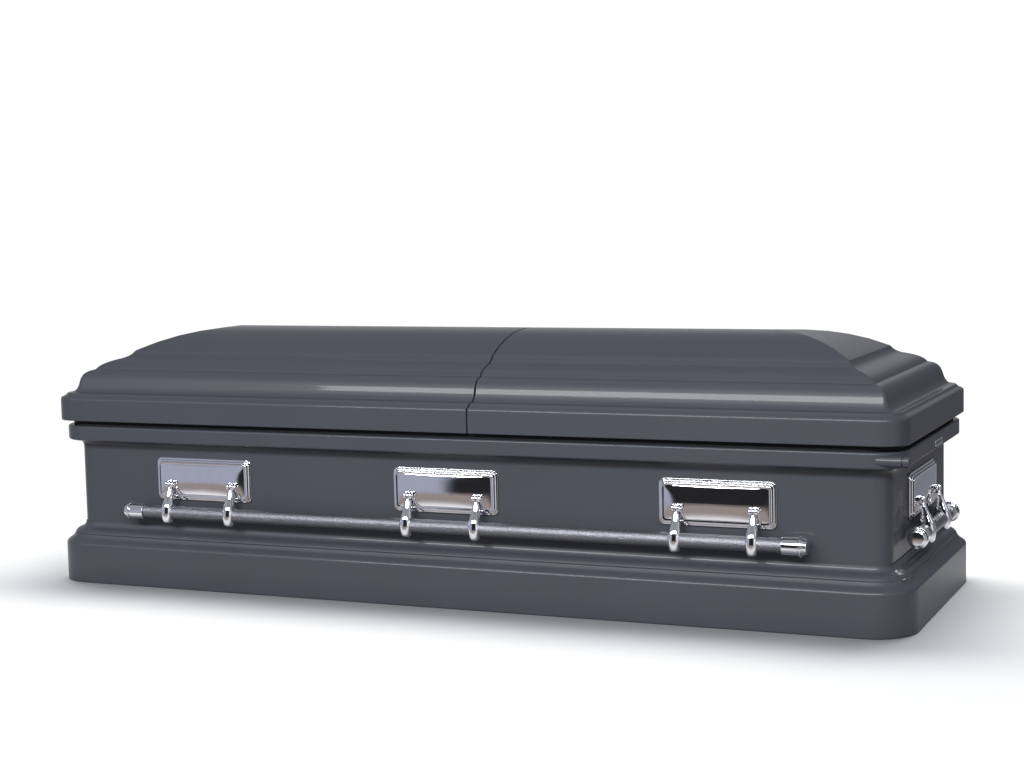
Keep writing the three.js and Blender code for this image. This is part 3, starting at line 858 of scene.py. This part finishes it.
tube_parts = (("record_tube", tube_profile, tube_low.x), ("record_tube_cap", cap_profile, cap_low.x))
for node, profile, start in tube_parts:
    place = Matrix.Translation((start, tube_centre.y, tube_centre.z))
    fit(node, turned([tuple(p) for p in profile], TUBE_SIDES, place), paint)

# Blank plate
# A small plate of bright aluminium stuck to the rim at the foot end, with a raised border. It is
# left blank.
plate_low, plate_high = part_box("blank_plate")
plate_half = (plate_high - plate_low) / 2
plate_centre = (plate_high + plate_low) / 2


def plate_aluminium():
    """Satin aluminium with a clouded lacquer, bright on the border and dull grey in the field."""
    material, wire, shader = new_finish("plate_aluminium", metallic=0.5)
    place = wire.node("TexCoord", output="Object")
    cloud = grain(wire, place, 160, 3)
    spot = wire.node("SeparateXYZ", None, {"Vector": place})
    across = wire.math("ABSOLUTE", spot.other("Y") - plate_centre.y, 0) - plate_half.y
    along = wire.math("ABSOLUTE", spot.other("Z") - plate_centre.z, 0) - plate_half.z
    border = wire.node("MapRange", None, {
        "Value": wire.math("MAXIMUM", across, along), "From Min": -0.0026, "From Max": -0.0020})
    field = mixed(wire, cloud, (0.07, 0.075, 0.09, 1), (0.11, 0.115, 0.135, 1))
    mixed(wire, border, field, (0.40, 0.41, 0.46, 1)).into(shader, "Base Color")
    (cloud * 0.2 + 0.32).into(shader, "Roughness")
    return material


plate_border = moulded([
    (0.002, 0),
    (0, 0, 0.0001),
    (0, plate_high.x - plate_low.x, 0.0003),
    (0.0014, plate_high.x - plate_low.x, 0.0002),
    (0.0018, 0.0006, 0.0002),
    (plate_half.z - WELD, 0.0006),
])
plate_rows = []
for inset, out in plate_border:
    ring = outline(plate_half.y - inset, plate_half.z - inset, 0.0012, 4)
    centre = Vector((plate_low.x + out, plate_centre.y, plate_centre.z))
    plate_rows.append([centre + Vector((0, p.x, p.y)) for p in ring])
fit("blank_plate", skin(plate_rows), plate_aluminium())

# Floor
# The casket stands on a plain pale studio floor, which fades into the pale room around it.
FLOOR_REACH = 4.0
FLOOR_WHOLE = 0.15
FLOOR_GONE = 0.7


def eased(wire, value, start, end):
    """0 before a start, 1 past an end, and smooth between them."""
    return wire.node("MapRange", {"interpolation_type": "SMOOTHSTEP"}, {
        "Value": value, "From Min": start, "From Max": end})


def pale_floor():
    """Matt white, clear far from the base."""
    material, wire, shader = new_finish("pale_floor", roughness=0.9, specular_ior_level=0.1)
    place = wire.node("TexCoord", output="Object")
    cloud = grain(wire, place, 1.2, 3)
    mixed(wire, cloud, (0.80, 0.795, 0.79, 1), (0.84, 0.838, 0.835, 1)).into(shader, "Base Color")
    spot = wire.node("SeparateXYZ", None, {"Vector": place})
    past_end = wire.math("MAXIMUM", wire.math("ABSOLUTE", spot.other("X"), 0) - base_high.x, 0)
    past_side = wire.math("MAXIMUM", wire.math("ABSOLUTE", spot.other("Y"), 0) - base_high.y, 0)
    away = wire.math("SQRT", past_end * past_end + past_side * past_side, 0)
    clear = wire.node("BsdfTransparent")
    whole = Wire(wire.tree, shader.outputs["BSDF"])
    gone = eased(wire, away, FLOOR_WHOLE, FLOOR_GONE)
    fading = wire.node("MixShader", None, {0: gone, 1: whole, 2: clear})
    fading.into(material.node_tree.nodes["Material Output"], "Surface")
    return material


floor_mesh = bpy.data.meshes.new("floor")
floor_bm = bmesh.new()
bmesh.ops.create_circle(floor_bm, cap_ends=True, segments=96, radius=FLOOR_REACH)
floor_bm.to_mesh(floor_mesh)
floor_bm.free()
floor_mesh.materials.append(pale_floor())
floor = bpy.data.objects.new("floor", floor_mesh)
bpy.context.scene.collection.objects.link(floor)

# Studio light
# A room with a white wall behind, a pale wall on the left, a dim one on the right, a white panel on
# the right of the front and darkness straight ahead. Long soft boxes hang in front and overhead.
WHITE_WALL = (1.03, 1.03, 1.03, 1)
LEFT_WALL = (0.40, 0.42, 0.52, 1)
RIGHT_WALL = (0.20, 0.21, 0.245, 1)
WHITE_PANEL = (0.90, 0.90, 0.92, 1)
DARK_FRONT = (0.02, 0.02, 0.022, 1)
CEILING = (0.32, 0.34, 0.38, 1)
FLOOR_AHEAD = (0.34, 0.29, 0.27, 1)
world = bpy.data.worlds.new("studio")
world.use_nodes = True
bpy.context.scene.world = world
sky = Wire(world.node_tree)
toward = sky.node("SeparateXYZ", None, {"Vector": sky.node("TexCoord", output="Generated")})
height = toward.other("Z")
round_from_rear = sky.math("ARCTAN2", toward.other("X"), toward.other("Y"))
behind = eased(sky, round_from_rear, -1.40, -1.20)
past_rear = eased(sky, round_from_rear, -0.12, 0.06)
ahead_left = eased(sky, round_from_rear, -2.68, -2.72)
ahead_right = eased(sky, round_from_rear, 2.38, 2.46)
walls = mixed(sky, behind, LEFT_WALL, WHITE_WALL)
walls = mixed(sky, past_rear, walls, RIGHT_WALL)
walls = mixed(sky, eased(sky, round_from_rear, 1.70, 1.80), walls, WHITE_PANEL)
walls = mixed(sky, ahead_left + ahead_right, walls, DARK_FRONT)
overhead = eased(sky, height - (ahead_left + ahead_right) * 0.33, 0.12, 0.45)
room = mixed(sky, overhead, walls, CEILING)
below = eased(sky, height, -0.15, -0.21) * (1 - behind * (1 - past_rear))
room = mixed(sky, below, room, FLOOR_AHEAD)
room.into(world.node_tree.nodes["Background"], "Color")
world.node_tree.nodes["Background"].inputs["Strength"].default_value = 1.0


def soft_box(name, place, target, size, power, colour, floor_state):
    """Soft box that lights the floor alone (INCLUDE) or all but the floor (EXCLUDE)."""
    light = bpy.data.lights.new(name, "AREA")
    light.shape = "RECTANGLE"
    light.size, light.size_y = size
    light.energy = power
    light.color = colour
    box = bpy.data.objects.new(name, light)
    box.location = place
    box.rotation_euler = (Vector(target) - Vector(place)).to_track_quat("-Z", "Y").to_euler()
    bpy.context.scene.collection.objects.link(box)
    lit = bpy.data.collections.new(name + "_receivers")
    lit.objects.link(floor)
    lit.collection_objects[0].light_linking.link_state = floor_state
    box.light_linking.receiver_collection = lit


soft_box("front_box", (0.3, -3.8, 2.5), (0, -0.3, 0.25), (6.0, 0.9), 420, (0.97, 0.98, 1.0), "EXCLUDE")
soft_box("overhead_box", (0, 0.6, 3.4), (0, 0.3, 0.3), (4.0, 1.5), 9, (0.92, 0.95, 1.0), "EXCLUDE")
soft_box("right_box", (4.2, 0.2, 2.2), (1.0, 0, 0.3), (1.5, 1.5), 7, (0.88, 0.93, 1.0), "EXCLUDE")
soft_box("floor_box", (-0.2, 0.8, 3.2), (0, 0, 0), (4.0, 1.6), 180, (1.0, 1.0, 1.0), "INCLUDE")

# Camera
# It stands to the right of the front, a little above the lid, and looks slightly down. It is held a
# little out of level.
CAMERA_PLACE = (1.8713, -4.1894, 0.9294)
CAMERA_YAW = math.radians(23.68)
CAMERA_PITCH = math.radians(5.66)
CAMERA_ROLL = math.radians(-1.29)
CAMERA_LENS = 67.06
forward = Vector((
    -math.sin(CAMERA_YAW) * math.cos(CAMERA_PITCH),
    math.cos(CAMERA_YAW) * math.cos(CAMERA_PITCH),
    -math.sin(CAMERA_PITCH),
))
level = Vector((math.cos(CAMERA_YAW), math.sin(CAMERA_YAW), 0))
above = level.cross(forward)
right = level * math.cos(CAMERA_ROLL) + above * math.sin(CAMERA_ROLL)
up = above * math.cos(CAMERA_ROLL) - level * math.sin(CAMERA_ROLL)
lens = bpy.data.cameras.new("camera")
lens.lens = CAMERA_LENS
lens.sensor_width = 36
lens.clip_end = 200
camera = bpy.data.objects.new("camera", lens)
camera.matrix_world = Matrix.Translation(CAMERA_PLACE) @ Matrix((right, up, -forward)).transposed().to_4x4()
bpy.context.scene.collection.objects.link(camera)
bpy.context.scene.camera = camera
bpy.context.scene.view_settings.view_transform = "Standard"

bpy.context.view_layer.update()
